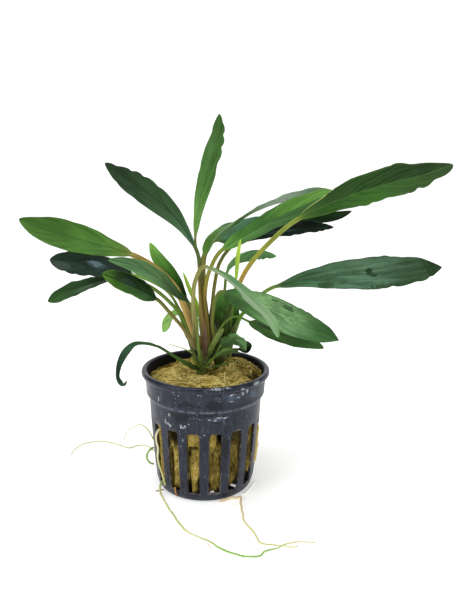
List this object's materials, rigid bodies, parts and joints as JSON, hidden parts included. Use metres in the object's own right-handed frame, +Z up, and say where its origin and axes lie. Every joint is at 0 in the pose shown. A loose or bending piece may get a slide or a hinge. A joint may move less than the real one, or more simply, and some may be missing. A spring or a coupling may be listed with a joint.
{
  "type": "potted homalomena",
  "caption": "Small aroid plant with long stalked lance-shaped leaves, rooted in a rock wool plug inside a slotted dark plastic net pot, with thin roots trailing from the slots.",
  "frame": {"origin": "centre of the pot's underside, on the surface that it stands on", "axes": "+Z up, -Y towards the viewer, +X to the viewer's right, along the widest spread of the leaves"},
  "size_m": [0.1855, 0.0921, 0.163],
  "materials": {
    "pot_plastic": "satin moulded, slate blue-black, with white lime specks",
    "rock_wool": "matt mineral fibre, ochre yellow",
    "crown_green": "ribbed fleshy stem, olive green",
    "leaf_bright": "smooth leaf, fresh mid green",
    "leaf_deep": "glossy leaf, dark blue green",
    "leaf_filmed": "leaf under a dull grey-green film",
    "leaf_lime": "young rolled leaf, lime green",
    "root_pale": "soft pale root",
    "root_green": "soft green root",
    "root_brown": "soft brown root"
  },
  "bodies": {
    "root": {"pot": "pot_plastic", "rock_wool": "rock_wool", "crown_main": "crown_green", "crown_side": "crown_green", "leaf_upper_left": "leaf_deep", "leaf_far_left": "leaf_bright", "leaf_left_dark_long": "leaf_deep", "leaf_left_dark_sheen": "leaf_deep", "leaf_left_drooping": "leaf_deep", "leaf_left_middle": "leaf_deep", "leaf_left_lower": "leaf_deep", "leaf_left_short": "leaf_bright", "leaf_left_back_small": "leaf_bright", "leaf_left_curled": "leaf_deep", "leaf_upright": "leaf_bright", "leaf_front_arching": "leaf_filmed", "leaf_spike_right": "leaf_lime", "leaf_spike_left": "leaf_lime", "leaf_top_arching": "leaf_filmed", "leaf_right_bright": "leaf_bright", "leaf_right_dark_low": "leaf_deep", "leaf_right_dark_behind": "leaf_deep", "leaf_right_large": "leaf_bright", "leaf_right_spreading": "leaf_filmed", "leaf_front_right_drooping": "leaf_filmed", "leaf_front_right_low": "leaf_deep", "leaf_back_small": "leaf_filmed", "leaf_dark_broad": "leaf_deep", "leaf_base_crumpled": "leaf_bright", "leaf_base_dark": "leaf_deep", "leaf_base_low": "leaf_deep", "leaf_base_thin": "leaf_deep", "leaf_base_stub": "leaf_bright", "root_front_long": "root_green", "root_front_twig": "root_pale", "root_right_long": "root_pale", "root_right_pale": "root_pale", "root_left_long": "root_pale", "root_pot_side": "root_pale", "root_arching": "root_pale", "root_green_loop": "root_green", "root_left_brown": "root_brown", "runner_rim": "root_pale"}
  },
  "joints": []
}
